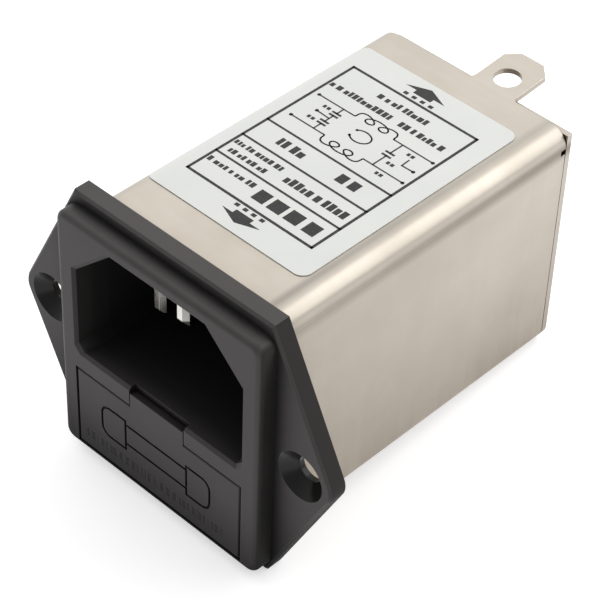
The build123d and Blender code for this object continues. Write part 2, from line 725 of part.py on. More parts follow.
# Earth strap: grips the earth pin behind the recess and lies against the cover
strap_foot_z = earth_pin_z - pin_h / 2 - strap_below_pin
with BuildPart() as earth_strap:
    with BuildSketch(Plane.YZ.offset(-strap_w / 2)):
        with Locations((cup_end_y + strap_t / 2, (strap_foot_z + cover_under_z) / 2)):
            Rectangle(strap_t, cover_under_z - strap_foot_z)
        with Locations(((cup_end_y + board_y) / 2, cover_under_z - strap_t / 2)):
            Rectangle(board_y - cup_end_y, strap_t)
    extrude(amount=strap_w)
    with BuildSketch(Plane.XZ.offset(-cup_end_y)):
        with Locations((0, earth_pin_z)):
            Rectangle(pin_w, pin_h)
    extrude(amount=-strap_t, mode=Mode.SUBTRACT)
earth_strap.part.label = "earth_strap"
export_step(earth_strap.part, "parts/earth_strap.step")

# Insulation liner: thin sleeve between the parts and the can
liner_front_y = board_back_y + liner_front_gap
liner_w = can_w - 2 * side_t - 2 * liner_gap
liner_top_z = cover_under_z - liner_gap
liner_bottom_z = can_bottom_z + side_t + liner_gap
with BuildPart() as insulation_liner:
    with BuildSketch(Plane.XZ.offset(-liner_front_y)):
        with Locations((can_mid_x, (liner_top_z + liner_bottom_z) / 2)):
            RectangleRounded(liner_w, liner_top_z - liner_bottom_z, inner_corner_r)
            RectangleRounded(
                liner_w - 2 * liner_t,
                liner_top_z - liner_bottom_z - 2 * liner_t,
                inner_corner_r - liner_t,
                mode=Mode.SUBTRACT,
            )
    extrude(amount=-(rear_in_y - liner_gap - liner_front_y))
insulation_liner.part.label = "insulation_liner"
export_step(insulation_liner.part, "parts/insulation_liner.step")

# Terminal block: passes through the rear plate, its rim lies on the outside
with BuildPart() as terminal_block:
    with BuildSketch(Plane.XZ.offset(-(rear_in_y - block_depth))):
        with Locations((can_mid_x, 0)):
            Rectangle(block_w, block_h)
    extrude(amount=-(block_depth + rear_t))
    with BuildSketch(Plane.XZ.offset(-can_len)):
        with Locations((can_mid_x, 0)):
            RectangleRounded(block_w + 2 * block_rim, block_h + 2 * block_rim, block_rim)
    extrude(amount=-block_rim_t)
    with BuildSketch(Plane.XZ.offset(-(rear_in_y - block_depth))):
        with Locations((can_mid_x - tab_spacing / 2, 0), (can_mid_x + tab_spacing / 2, 0)):
            Rectangle(blade_t, blade_w)
    extrude(amount=-(block_depth + rear_t + block_rim_t), mode=Mode.SUBTRACT)
terminal_block.part.label = "terminal_block"
export_step(terminal_block.part, "parts/terminal_block.step")

# Output blades: flat push-on terminals with a hole near the end
blade_in_y = rear_in_y - block_depth - blade_tail
blade_end_y = can_len + blade_out
with BuildPart() as load_tab_line:
    with BuildSketch(Plane.YZ.offset(can_mid_x - tab_spacing / 2 - blade_t / 2)):
        with Locations(((blade_in_y + blade_end_y) / 2, 0)):
            Rectangle(blade_end_y - blade_in_y, blade_w)
    extrude(amount=blade_t)
    chamfer(load_tab_line.edges().filter_by(Axis.X).group_by(Axis.Y)[-1], length=blade_corner)
    with BuildSketch(Plane.YZ.offset(can_mid_x - tab_spacing / 2 - blade_t / 2)):
        with Locations((blade_end_y - blade_hole_from_end, 0)):
            Circle(blade_hole_d / 2)
    extrude(amount=blade_t, mode=Mode.SUBTRACT)
load_tab_line.part.label = "load_tab_line"
export_step(load_tab_line.part, "parts/load_tab_line.step")

with BuildPart() as load_tab_neutral:
    with BuildSketch(Plane.YZ.offset(can_mid_x + tab_spacing / 2 - blade_t / 2)):
        with Locations(((blade_in_y + blade_end_y) / 2, 0)):
            Rectangle(blade_end_y - blade_in_y, blade_w)
    extrude(amount=blade_t)
    chamfer(load_tab_neutral.edges().filter_by(Axis.X).group_by(Axis.Y)[-1], length=blade_corner)
    with BuildSketch(Plane.YZ.offset(can_mid_x + tab_spacing / 2 - blade_t / 2)):
        with Locations((blade_end_y - blade_hole_from_end, 0)):
            Circle(blade_hole_d / 2)
    extrude(amount=blade_t, mode=Mode.SUBTRACT)
load_tab_neutral.part.label = "load_tab_neutral"
export_step(load_tab_neutral.part, "parts/load_tab_neutral.step")

# Insulated leads from the card to the output blades
lead_bend_y = winding_end_y + lead_run_past
lead_z = plug_top_z - lead_top_gap
lead_left_x = can_mid_x - plug_w / 2 + lead_side_gap
lead_right_x = can_mid_x + plug_w / 2 - lead_side_gap
with BuildPart() as lead_line:
    with BuildLine() as lead_line_path:
        FilletPolyline(
            (lead_left_x, board_back_y, lead_z),
            (lead_left_x, lead_bend_y, lead_z),
            (can_mid_x - tab_spacing / 2, blade_in_y - lead_last_run, 0),
            (can_mid_x - tab_spacing / 2, blade_in_y, 0),
            radius=lead_bend_r,
        )
    with BuildSketch(Plane.XZ.offset(-board_back_y)):
        with Locations((lead_left_x, lead_z)):
            Circle(lead_d / 2)
    sweep(path=lead_line_path.wire())
lead_line.part.label = "lead_line"
export_step(lead_line.part, "parts/lead_line.step")

with BuildPart() as lead_neutral:
    with BuildLine() as lead_neutral_path:
        FilletPolyline(
            (lead_right_x, board_back_y, lead_z),
            (lead_right_x, lead_bend_y, lead_z),
            (can_mid_x + tab_spacing / 2, blade_in_y - lead_last_run, 0),
            (can_mid_x + tab_spacing / 2, blade_in_y, 0),
            radius=lead_bend_r,
        )
    with BuildSketch(Plane.XZ.offset(-board_back_y)):
        with Locations((lead_right_x, lead_z)):
            Circle(lead_d / 2)
    sweep(path=lead_neutral_path.wire())
lead_neutral.part.label = "lead_neutral"
export_step(lead_neutral.part, "parts/lead_neutral.step")
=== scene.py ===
import random
from math import cos, pi, radians, sin

import bmesh
import bpy
from mathutils import Matrix, Vector


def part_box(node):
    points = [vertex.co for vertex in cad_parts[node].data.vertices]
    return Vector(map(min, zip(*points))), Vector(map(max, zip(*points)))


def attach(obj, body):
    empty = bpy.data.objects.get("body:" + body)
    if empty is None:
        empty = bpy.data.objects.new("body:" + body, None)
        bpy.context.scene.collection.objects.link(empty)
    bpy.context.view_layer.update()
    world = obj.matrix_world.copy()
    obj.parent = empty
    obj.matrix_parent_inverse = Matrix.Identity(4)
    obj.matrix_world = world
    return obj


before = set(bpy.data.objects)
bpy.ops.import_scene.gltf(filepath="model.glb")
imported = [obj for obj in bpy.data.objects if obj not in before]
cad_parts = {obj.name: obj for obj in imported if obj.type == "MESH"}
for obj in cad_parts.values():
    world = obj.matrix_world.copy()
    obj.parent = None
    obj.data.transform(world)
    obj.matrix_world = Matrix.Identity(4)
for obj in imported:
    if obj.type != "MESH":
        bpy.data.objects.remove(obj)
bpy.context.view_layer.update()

mm = 0.001


# Inlet housing: one black thermoplastic moulding with a fine spark-eroded grain.
# It has the flange, the bezel, the plug recess and the drawer's bay, and its edges are
# painted lighter as a painted highlight.
def add_socket(group, name, way, kind, value=None):
    socket = group.interface.new_socket(name=name, in_out=way, socket_type=kind)
    if value is not None:
        socket.default_value = value


def make_soft_edge_group():
    """Shading normal that rounds hard edges, and a mask that is 1 on them."""
    group = bpy.data.node_groups.new("soft_edge", "ShaderNodeTree")
    add_socket(group, "Radius", "INPUT", "NodeSocketFloat", 0.0002)
    add_socket(group, "Spread", "INPUT", "NodeSocketFloat", 6.0)
    add_socket(group, "Normal", "OUTPUT", "NodeSocketVector")
    add_socket(group, "Mask", "OUTPUT", "NodeSocketFloat")
    nodes = group.nodes
    links = group.links
    inputs = nodes.new("NodeGroupInput")
    outputs = nodes.new("NodeGroupOutput")
    bevel = nodes.new("ShaderNodeBevel")
    bevel.samples = 6
    geometry = nodes.new("ShaderNodeNewGeometry")
    compare = nodes.new("ShaderNodeVectorMath")
    compare.operation = "DOT_PRODUCT"
    away = nodes.new("ShaderNodeMath")
    away.operation = "SUBTRACT"
    away.inputs[0].default_value = 1.0
    widen = nodes.new("ShaderNodeMath")
    widen.operation = "MULTIPLY"
    widen.use_clamp = True
    links.new(inputs.outputs["Radius"], bevel.inputs["Radius"])
    links.new(bevel.outputs["Normal"], compare.inputs[0])
    links.new(geometry.outputs["Normal"], compare.inputs[1])
    links.new(compare.outputs["Value"], away.inputs[1])
    links.new(away.outputs[0], widen.inputs[0])
    links.new(inputs.outputs["Spread"], widen.inputs[1])
    links.new(bevel.outputs["Normal"], outputs.inputs["Normal"])
    links.new(widen.outputs[0], outputs.inputs["Mask"])
    return group


def make_cloudy_group():
    """Slow and fine unevenness of a surface, from its own coordinates in metres."""
    group = bpy.data.node_groups.new("cloudy", "ShaderNodeTree")
    add_socket(group, "Slow Size", "INPUT", "NodeSocketFloat", 120.0)
    add_socket(group, "Fine Size", "INPUT", "NodeSocketFloat", 2500.0)
    add_socket(group, "Slow", "OUTPUT", "NodeSocketFloat")
    add_socket(group, "Fine", "OUTPUT", "NodeSocketFloat")
    nodes = group.nodes
    links = group.links
    inputs = nodes.new("NodeGroupInput")
    outputs = nodes.new("NodeGroupOutput")
    place = nodes.new("ShaderNodeTexCoord")
    slow = nodes.new("ShaderNodeTexNoise")
    slow.inputs["Detail"].default_value = 4.0
    slow.inputs["Roughness"].default_value = 0.55
    fine = nodes.new("ShaderNodeTexNoise")
    fine.inputs["Detail"].default_value = 3.0
    links.new(place.outputs["Object"], slow.inputs["Vector"])
    links.new(place.outputs["Object"], fine.inputs["Vector"])
    links.new(inputs.outputs["Slow Size"], slow.inputs["Scale"])
    links.new(inputs.outputs["Fine Size"], fine.inputs["Scale"])
    links.new(slow.outputs["Fac"], outputs.inputs["Slow"])
    links.new(fine.outputs["Fac"], outputs.inputs["Fine"])
    return group


def make_open_air_group():
    """Value that is 1 in the open and falls to 0 in corners, holes and under overhangs."""
    group = bpy.data.node_groups.new("open_air", "ShaderNodeTree")
    add_socket(group, "Distance", "INPUT", "NodeSocketFloat", 0.008)
    add_socket(group, "Open", "OUTPUT", "NodeSocketFloat")
    inputs = group.nodes.new("NodeGroupInput")
    outputs = group.nodes.new("NodeGroupOutput")
    around = group.nodes.new("ShaderNodeAmbientOcclusion")
    around.samples = 8
    group.links.new(inputs.outputs["Distance"], around.inputs["Distance"])
    group.links.new(around.outputs["AO"], outputs.inputs["Open"])
    return group


soft_edge = make_soft_edge_group()
cloudy = make_cloudy_group()
open_air = make_open_air_group()


def start_material(name):
    material = bpy.data.materials.new(name)
    material.use_nodes = True
    tree = material.node_tree
    return material, tree.nodes, tree.links, tree.nodes["Principled BSDF"]


def add_group(nodes, group, **values):
    node = nodes.new("ShaderNodeGroup")
    node.node_tree = group
    for name, value in values.items():
        node.inputs[name.replace("_", " ")].default_value = value
    return node


def blend_colours(nodes, links, factor, low, high):
    """Colour between low and high by a value from 0 to 1."""
    mix = nodes.new("ShaderNodeMix")
    mix.data_type = "RGBA"
    for socket, value in ((mix.inputs["A"], low), (mix.inputs["B"], high)):
        if hasattr(value, "is_linked"):
            links.new(value, socket)
        else:
            socket.default_value = (*value, 1.0)
    links.new(factor, mix.inputs["Factor"])
    return mix.outputs["Result"]


def stretch(nodes, links, value, low_in, high_in, low_out, high_out):
    """Value mapped from one range to another, held at its ends."""
    node = nodes.new("ShaderNodeMapRange")
    node.inputs["From Min"].default_value = low_in
    node.inputs["From Max"].default_value = high_in
    node.inputs["To Min"].default_value = low_out
    node.inputs["To Max"].default_value = high_out
    links.new(value, node.inputs["Value"])
    return node.outputs["Result"]


def product(nodes, links, first, second):
    node = nodes.new("ShaderNodeMath")
    node.operation = "MULTIPLY"
    links.new(first, node.inputs[0])
    links.new(second, node.inputs[1])
    return node.outputs[0]


def band(nodes, links, value, low, high, soft):
    """Mask that is 1 from low to high and fades out over a soft width on either side."""
    rise = stretch(nodes, links, value, low - soft, low, 0.0, 1.0)
    fall = stretch(nodes, links, value, high, high + soft, 1.0, 0.0)
    return product(nodes, links, rise, fall)


def raise_surface(nodes, links, shader, height, depth, edge):
    """Bump of a height in metres, over the rounded edge's normal."""
    bump = nodes.new("ShaderNodeBump")
    bump.inputs["Distance"].default_value = depth
    links.new(height, bump.inputs["Height"])
    links.new(edge.outputs["Normal"], bump.inputs["Normal"])
    links.new(bump.outputs["Normal"], shader.inputs["Normal"])


def make_moulding(name, dark, light, painted_edge_highlight, rough_low, rough_high, edge_radius, hollow_shade=0.06):
    """Moulded plastic: grain, slow change of sheen, painted highlight on edges, painted shade in hollows.
    """
    grain_depth = 0.012 * mm
    wide_reach = 18 * mm
    near_reach = 2.5 * mm
    dusty_rough = 0.95
    material, nodes, links, shader = start_material(name)
    shader.inputs["Specular IOR Level"].default_value = 0.24
    edge = add_group(nodes, soft_edge, Radius=edge_radius, Spread=3.0)
    cloud = add_group(nodes, cloudy, Slow_Size=170.0, Fine_Size=5200.0)
    shade = stretch(nodes, links, cloud.outputs["Slow"], 0.35, 0.65, 0.0, 1.0)
    body = blend_colours(nodes, links, shade, dark, light)
    # Painted highlight: the edges are made lighter through the edge mask.
    colour = blend_colours(nodes, links, edge.outputs["Mask"], body, painted_edge_highlight)
    # Painted shade: the colour darkens toward the hollow tone in corners, holes and near the floor.
    wide_air = add_group(nodes, open_air, Distance=wide_reach)
    near_air = add_group(nodes, open_air, Distance=near_reach)
    clear = stretch(nodes, links, wide_air.outputs["Open"], 0.42, 0.92, 0.0, 1.0)
    shallow = stretch(nodes, links, near_air.outputs["Open"], 0.35, 0.90, 0.2, 1.0)
    openness = product(nodes, links, clear, shallow)
    hollow_shade_tone = tuple(hollow_shade * channel for channel in dark)
    colour = blend_colours(nodes, links, openness, hollow_shade_tone, colour)
    links.new(colour, shader.inputs["Base Color"])
    rough = stretch(nodes, links, cloud.outputs["Slow"], 0.3, 0.7, rough_low, rough_high)
    dusty = nodes.new("ShaderNodeMix")
    dusty.inputs["A"].default_value = dusty_rough
    links.new(clear, dusty.inputs["Factor"])
    links.new(rough, dusty.inputs["B"])
    links.new(dusty.outputs["Result"], shader.inputs["Roughness"])
    raise_surface(nodes, links, shader, cloud.outputs["Fine"], grain_depth, edge)
    return material


def dress(node, material):
    for material_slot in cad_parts[node].material_slots:
        material_slot.material = material


housing_plastic = make_moulding(
    "housing_plastic",
    dark=(0.052, 0.046, 0.046),
    light=(0.061, 0.055, 0.055),
    painted_edge_highlight=(0.135, 0.126, 0.124),
    rough_low=0.42,
    rough_high=0.52,
    edge_radius=0.16 * mm,
)
dress("inlet_housing", housing_plastic)

# The walls that face left and right are duller than the faces the tool pressed flat, and are
# painted darker as painted shade. The recess is duller all round, painted near black as shade.
recess_side = 12.9 * mm
recess_low = -2.2 * mm
recess_high = 15.1 * mm
recess_mouth = -4.0 * mm
recess_shade_full = -1.5 * mm
mask_edge = 0.1 * mm
side_wall_shade_black = (0.014, 0.013, 0.012)
recess_shade_black = (0.008, 0.0075, 0.0075)
dull_rough = 0.90


def split_axes(nodes, links, vector):
    """X, Y and Z of a vector, as values of their own."""
    split = nodes.new("ShaderNodeSeparateXYZ")
    links.new(vector, split.inputs["Vector"])
    return split.outputs


def without_sign(nodes, links, value):
    node = nodes.new("ShaderNodeMath")
    node.operation = "ABSOLUTE"
    links.new(value, node.inputs[0])
    return node.outputs[0]


def paint_over(nodes, links, shader, mask, colour):
    """Lay a colour over the shader's own where the mask is 1."""
    under = shader.inputs["Base Color"].links[0].from_socket
    links.new(blend_colours(nodes, links, mask, under, colour), shader.inputs["Base Color"])


def rub_over(nodes, links, shader, mask, roughness):
    """Give the shader another roughness where the mask is 1."""
    mix = nodes.new("ShaderNodeMix")
    links.new(mask, mix.inputs["Factor"])
    links.new(shader.inputs["Roughness"].links[0].from_socket, mix.inputs["A"])
    mix.inputs["B"].default_value = roughness
    links.new(mix.outputs["Result"], shader.inputs["Roughness"])


nodes = housing_plastic.node_tree.nodes
links = housing_plastic.node_tree.links
shader = nodes["Principled BSDF"]
surface = nodes.new("ShaderNodeNewGeometry")
turned = split_axes(nodes, links, surface.outputs["True Normal"])
side_wall_mask = stretch(nodes, links, without_sign(nodes, links, turned["X"]), 0.62, 0.84, 0.0, 0.72)
# Painted shade: walls that face left or right are painted darker.
paint_over(nodes, links, shader, side_wall_mask, side_wall_shade_black)
place = nodes.new("ShaderNodeTexCoord")
spot = split_axes(nodes, links, place.outputs["Object"])
across = band(nodes, links, spot["X"], -recess_side, recess_side, mask_edge)
upright = band(nodes, links, spot["Z"], recess_low, recess_high, mask_edge)
inward = stretch(nodes, links, spot["Y"], recess_mouth, recess_shade_full, 0.0, 0.9)
inside = product(nodes, links, product(nodes, links, across, upright), inward)
# Painted shade: the inside of the recess is painted near black.
paint_over(nodes, links, shader, inside, recess_shade_black)
dull = nodes.new("ShaderNodeMath")
dull.operation = "MAXIMUM"
links.new(side_wall_mask, dull.inputs[0])
links.new(inside, dull.inputs[1])
rub_over(nodes, links, shader, dull.outputs[0], dull_rough)

# The two screw holes and their countersinks came off polished pins in the tool, so they
# are glossy, and they are painted near black as painted shade inside the holes.
hole_place = (20 * mm, 0.0, 0.0)
hole_polish_in = 3.4 * mm
hole_polish_out = 3.6 * mm
countersink_shade_black = (0.010, 0.0095, 0.009)
polished_rough = 0.24
mirrored = nodes.new("ShaderNodeVectorMath")
mirrored.operation = "ABSOLUTE"
links.new(place.outputs["Object"], mirrored.inputs[0])
flattened = nodes.new("ShaderNodeVectorMath")
flattened.operation = "MULTIPLY"
flattened.inputs[1].default_value = (1.0, 0.0, 1.0)
links.new(mirrored.outputs["Vector"], flattened.inputs[0])
from_hole = nodes.new("ShaderNodeVectorMath")
from_hole.operation = "DISTANCE"
from_hole.inputs[1].default_value = hole_place
links.new(flattened.outputs["Vector"], from_hole.inputs[0])
near_hole = stretch(nodes, links, from_hole.outputs["Value"], hole_polish_in, hole_polish_out, 1.0, 0.0)
off_face = stretch(nodes, links, without_sign(nodes, links, turned["Y"]), 0.85, 0.95, 1.0, 0.0)
polished_and_shaded = product(nodes, links, near_hole, off_face)
# Painted shade: the walls of the holes are painted near black.
paint_over(nodes, links, shader, polished_and_shaded, countersink_shade_black)
rub_over(nodes, links, shader, polished_and_shaded, polished_rough)


# Fuse drawer: the same black thermoplastic from a tool of its own, a touch darker.
# Its face closes flush in the bezel, with the fuse sign engraved in it and the pull tab
# standing up into the recess.
drawer_plastic = make_moulding(
    "drawer_plastic",
    dark=(0.049, 0.043, 0.043),
    light=(0.056, 0.050, 0.050),
    painted_edge_highlight=(0.120, 0.112, 0.110),
    rough_low=0.42,
    rough_high=0.52,
    edge_radius=0.18 * mm,
)
dress("fuse_drawer", drawer_plastic)

# Row of shallow bars along the foot of the drawer's face, sunk in it by the tool. They are
# plain and of uneven width.
row_left = -11.8 * mm
row_right = 10.8 * mm
row_low = -15.0 * mm
row_high = -13.8 * mm
row_end_soft = 0.2 * mm
row_edge_soft = 0.1 * mm
face_front = -4.6 * mm
face_back = -4.5 * mm
bars_per_metre = 1900.0
bar_black = (0.012, 0.011, 0.011)
bar_sink = -6.0
nodes = drawer_plastic.node_tree.nodes
links = drawer_plastic.node_tree.links
shader = nodes["Principled BSDF"]
place = nodes.new("ShaderNodeTexCoord")
spot = split_axes(nodes, links, place.outputs["Object"])
squeeze = nodes.new("ShaderNodeMapping")
squeeze.inputs["Scale"].default_value = (1.0, 0.0, 0.0)
links.new(place.outputs["Object"], squeeze.inputs["Vector"])
strokes = nodes.new("ShaderNodeTexNoise")
strokes.inputs["Scale"].default_value = bars_per_metre
strokes.inputs["Detail"].default_value = 0.0
links.new(squeeze.outputs["Vector"], strokes.inputs["Vector"])
marks = stretch(nodes, links, strokes.outputs["Fac"], 0.47, 0.53, 0.0, 1.0)
marks = product(nodes, links, marks, band(nodes, links, spot["X"], row_left, row_right, row_end_soft))
marks = product(nodes, links, marks, band(nodes, links, spot["Z"], row_low, row_high, row_edge_soft))
marks = product(nodes, links, marks, stretch(nodes, links, spot["Y"], face_front, face_back, 1.0, 0.0))
paint_over(nodes, links, shader, marks, bar_black)
bump = shader.inputs["Normal"].links[0].from_node
sunk = nodes.new("ShaderNodeMath")
sunk.operation = "MULTIPLY_ADD"
sunk.inputs[1].default_value = bar_sink
links.new(marks, sunk.inputs[0])
links.new(bump.inputs["Height"].links[0].from_socket, sunk.inputs[2])
links.new(sunk.outputs[0], bump.inputs["Height"])


# Cartridge fuse: a clear glass tube with a nickel-plated brass cap crimped on each end
# and a fine copper wire soldered between the caps.
# It lies across the drawer's cradle.
def make_metal(
    name, low, high, painted_edge_highlight, hollow_shade, rough_low, rough_high,
    slow_size, edge_radius, reach, shade_from=0.3,
):
    """Plated or bare metal: mottled tone and gloss, painted highlight on edges, painted shade in hollows,
    tiny pits.
    """
    pit_depth = 0.004 * mm
    material, nodes, links, shader = start_material(name)
    edge = add_group(nodes, soft_edge, Radius=edge_radius, Spread=3.0)
    cloud = add_group(nodes, cloudy, Slow_Size=slow_size, Fine_Size=3600.0)
    shade = stretch(nodes, links, cloud.outputs["Slow"], 0.3, 0.7, 0.0, 1.0)
    body = blend_colours(nodes, links, shade, low, high)
    # Painted highlight: the edges are made lighter through the edge mask.
    colour = blend_colours(nodes, links, edge.outputs["Mask"], body, painted_edge_highlight)
    # Painted shade: the colour darkens toward the hollow tone in corners, holes and near the floor.
    air = add_group(nodes, open_air, Distance=reach)
    openness = stretch(nodes, links, air.outputs["Open"], shade_from, 0.95, 0.0, 1.0)
    links.new(blend_colours(nodes, links, openness, hollow_shade, colour), shader.inputs["Base Color"])
    shader.inputs["Metallic"].default_value = 1.0
    rough = stretch(nodes, links, cloud.outputs["Slow"], 0.3, 0.7, rough_high, rough_low)
    links.new(rough, shader.inputs["Roughness"])
    raise_surface(nodes, links, shader, cloud.outputs["Fine"], pit_depth, edge)
    return material


fuse_glass, nodes, links, shader = start_material("fuse_glass")
shader.inputs["Base Color"].default_value = (0.93, 0.96, 0.95, 1.0)
shader.inputs["Transmission Weight"].default_value = 1.0
shader.inputs["IOR"].default_value = 1.5
edge = add_group(nodes, soft_edge, Radius=0.1 * mm, Spread=3.0)
cloud = add_group(nodes, cloudy, Slow_Size=300.0, Fine_Size=3000.0)
links.new(stretch(nodes, links, cloud.outputs["Slow"], 0.3, 0.7, 0.02, 0.07), shader.inputs["Roughness"])
raise_surface(nodes, links, shader, cloud.outputs["Slow"], 0.006 * mm, edge)
dress("fuse_tube", fuse_glass)
cap_plate = make_metal(
    "cap_plate",
    low=(0.66, 0.63, 0.58),
    high=(0.76, 0.73, 0.68),
    painted_edge_highlight=(0.85, 0.83, 0.79),
    hollow_shade=(0.45, 0.41, 0.36),
    rough_low=0.16,
    rough_high=0.26,
    slow_size=400.0,
    edge_radius=0.08 * mm,
    reach=3 * mm,
)
dress("fuse_cap_left", cap_plate)
dress("fuse_cap_right", cap_plate)
fuse_copper = make_metal(
    "fuse_copper",
    low=(0.70, 0.38, 0.22),
    high=(0.80, 0.47, 0.29),
    painted_edge_highlight=(0.85, 0.55, 0.38),
    hollow_shade=(0.45, 0.22, 0.12),
    rough_low=0.24,
    rough_high=0.34,
    slow_size=600.0,
    edge_radius=0.03 * mm,
    reach=2 * mm,
)
dress("fuse_wire", fuse_copper)


# Fuse contacts: tinned brass strip, pressed and bent, pushed through the bay's rear wall.
# Each leaf presses on one cap of the fuse when the drawer is home.
contact_strip = make_metal(
    "contact_strip",
    low=(0.60, 0.52, 0.36),
    high=(0.72, 0.64, 0.46),
    painted_edge_highlight=(0.80, 0.74, 0.58),
    hollow_shade=(0.38, 0.31, 0.19),
    rough_low=0.28,
    rough_high=0.40,
    slow_size=350.0,
    edge_radius=0.06 * mm,
    reach=3 * mm,
)
dress("fuse_contact_left", contact_strip)
dress("fuse_contact_right", contact_strip)


# Pins: nickel-plated brass blades with coined tips, pressed through the recess's end wall.
# The earth pin stands further out than the other two, so that it makes contact first.
pin_plate = make_metal(
    "pin_plate",
    low=(0.72, 0.70, 0.66),
    high=(0.82, 0.80, 0.76),
    painted_edge_highlight=(0.90, 0.89, 0.86),
    hollow_shade=(0.015, 0.014, 0.013),
    rough_low=0.20,
    rough_high=0.30,
    slow_size=260.0,
    edge_radius=0.12 * mm,
    reach=12 * mm,
    shade_from=0.45,
)
for node in ("line_pin", "neutral_pin", "earth_pin"):
    dress(node, pin_plate)

# The pins' right flanks are painted darker as painted shade, and a darker band runs along
# the lower edge of the earth pin.
dark_band_low = 7.9 * mm
dark_band_high = 8.7 * mm
dark_band_soft = 0.2 * mm
flank_shade_grey = (0.05, 0.046, 0.042)
edge_grey = (0.04, 0.037, 0.034)
nodes = pin_plate.node_tree.nodes
links = pin_plate.node_tree.links
shader = nodes["Principled BSDF"]
place = nodes.new("ShaderNodeTexCoord")
spot = split_axes(nodes, links, place.outputs["Object"])
surface = nodes.new("ShaderNodeNewGeometry")
turned = split_axes(nodes, links, surface.outputs["True Normal"])
low_edge = band(nodes, links, spot["Z"], dark_band_low, dark_band_high, dark_band_soft)
shaded_flank = stretch(nodes, links, turned["X"], 0.5, 0.9, 0.0, 0.9)
# Painted shade: faces turned to the right are painted darker.
paint_over(nodes, links, shader, shaded_flank, flank_shade_grey)
paint_over(nodes, links, shader, low_edge, edge_grey)


# Can: steel sheet with a satin nickel plate, cut and folded. The body is the bottom and
# the two sides, the cover is the top with its rolled edges and the earth lug, and the
# rear plate closes the end. The plate is warm in tone and faintly mottled.
can_plate = make_metal(
    "can_plate",
    low=(0.427, 0.389, 0.338),
    high=(0.482, 0.442, 0.390),
    painted_edge_highlight=(0.66, 0.62, 0.56),
    hollow_shade=(0.25, 0.20, 0.155),
    rough_low=0.33,
    rough_high=0.40,
    slow_size=95.0,
    edge_radius=0.12 * mm,
    reach=27 * mm,
)
for node in ("can_body", "can_cover", "rear_plate"):
    dress(node, can_plate)

# The sheet has faint streaks from its rolling, and a dark line is painted along each side of
# the right rolled edge as painted shade, where the sheet turns away from the light.
streaks_per_metre = 900.0
streak_tone = (0.42, 0.375, 0.315)
upper_roll_shade = (0.27, 0.25, 0.22)
lower_roll_shade = (0.17, 0.145, 0.115)
line_left = 12.1 * mm
line_right = 12.4 * mm
line_soft = 0.7 * mm
sheet_low = 16.0 * mm
sheet_high = 17.0 * mm
seam_foot = 13.7 * mm
seam_low = 15.0 * mm
seam_high = 15.5 * mm
seam_head = 16.2 * mm
side_in = 13.5 * mm
side_out = 14.5 * mm
can_front = 0.0
can_rear = 45 * mm
nodes = can_plate.node_tree.nodes
links = can_plate.node_tree.links
shader = nodes["Principled BSDF"]
place = nodes.new("ShaderNodeTexCoord")
spot = split_axes(nodes, links, place.outputs["Object"])
along = nodes.new("ShaderNodeMapping")
along.inputs["Scale"].default_value = (0.10, 1.0, 0.05)
links.new(place.outputs["Object"], along.inputs["Vector"])
streaks = nodes.new("ShaderNodeTexNoise")
streaks.inputs["Scale"].default_value = streaks_per_metre
streaks.inputs["Detail"].default_value = 3.0
links.new(along.outputs["Vector"], streaks.inputs["Vector"])
streak_share = stretch(nodes, links, streaks.outputs["Fac"], 0.35, 0.75, 0.0, 0.35)
upper = band(nodes, links, spot["X"], line_left, line_right, line_soft)
upper = product(nodes, links, upper, stretch(nodes, links, spot["Z"], sheet_low, sheet_high, 0.0, 1.0))
upper = product(nodes, links, upper, stretch(nodes, links, spot["Y"], can_front, can_rear, 0.95, 0.40))
below_seam = stretch(nodes, links, spot["Z"], seam_foot, seam_low, 0.0, 1.0)
above_seam = stretch(nodes, links, spot["Z"], seam_high, seam_head, 1.0, 0.0)
lower = product(nodes, links, below_seam, above_seam)
lower = product(nodes, links, lower, stretch(nodes, links, spot["X"], side_in, side_out, 0.0, 1.0))
lower = product(nodes, links, lower, stretch(nodes, links, spot["Y"], can_front, can_rear, 0.35, 0.75))
paint_over(nodes, links, shader, streak_share, streak_tone)
# Painted shade: dark lines on each side of the rolled edge.
paint_over(nodes, links, shader, upper, upper_roll_shade)
paint_over(nodes, links, shader, lower, lower_roll_shade)


# Label: white polyester film, stuck on the cover and carried over its left rolled edge.
# The film has a faint gloss, and a little of the adhesive's unevenness shows through.
label_film, nodes, links, shader = start_material("label_film")
edge = add_group(nodes, soft_edge, Radius=0.05 * mm, Spread=2.0)
cloud = add_group(nodes, cloudy, Slow_Size=140.0, Fine_Size=2600.0)
shade = stretch(nodes, links, cloud.outputs["Slow"], 0.3, 0.7, 0.0, 1.0)
paper = blend_colours(nodes, links, shade, (0.620, 0.630, 0.608), (0.655, 0.662, 0.635))
links.new(paper, shader.inputs["Base Color"])
links.new(stretch(nodes, links, cloud.outputs["Slow"], 0.3, 0.7, 0.34, 0.44), shader.inputs["Roughness"])
raise_surface(nodes, links, shader, cloud.outputs["Slow"], 0.02 * mm, edge)
dress("label", label_film)


# Print on the label: black ink in a ruled frame, with a wiring sign of the filter, an arrow
# at each end and rows of plain blocks.
# It is built as a thin layer of ink that lies on the film.
print_height = 0.015 * mm
film_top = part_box("label")[1][2]


def add_block(bm, middle, size, turn=0.0):
    """Flat block of ink: middle and size in millimetres, turned about its own middle."""
    place = Matrix.Translation((middle[0] * mm, middle[1] * mm, film_top + print_height / 2))
    stretched = Matrix.Diagonal((size[0] * mm, size[1] * mm, print_height, 1.0))
    shape = Matrix.Rotation(turn, 4, "Z") @ stretched
    bmesh.ops.create_cube(bm, size=1.0, matrix=place @ shape)


def add_stroke(bm, points, width):
    """Line of ink through the points, each run a little longer than the gap it spans."""
    for start, end in zip(points, points[1:]):
        run = Vector(end) - Vector(start)
        middle = (Vector(start) + Vector(end)) / 2
        turn = run.to_2d().angle_signed(Vector((1.0, 0.0)))
        add_block(bm, middle, (run.length + width * 0.8, width), turn)


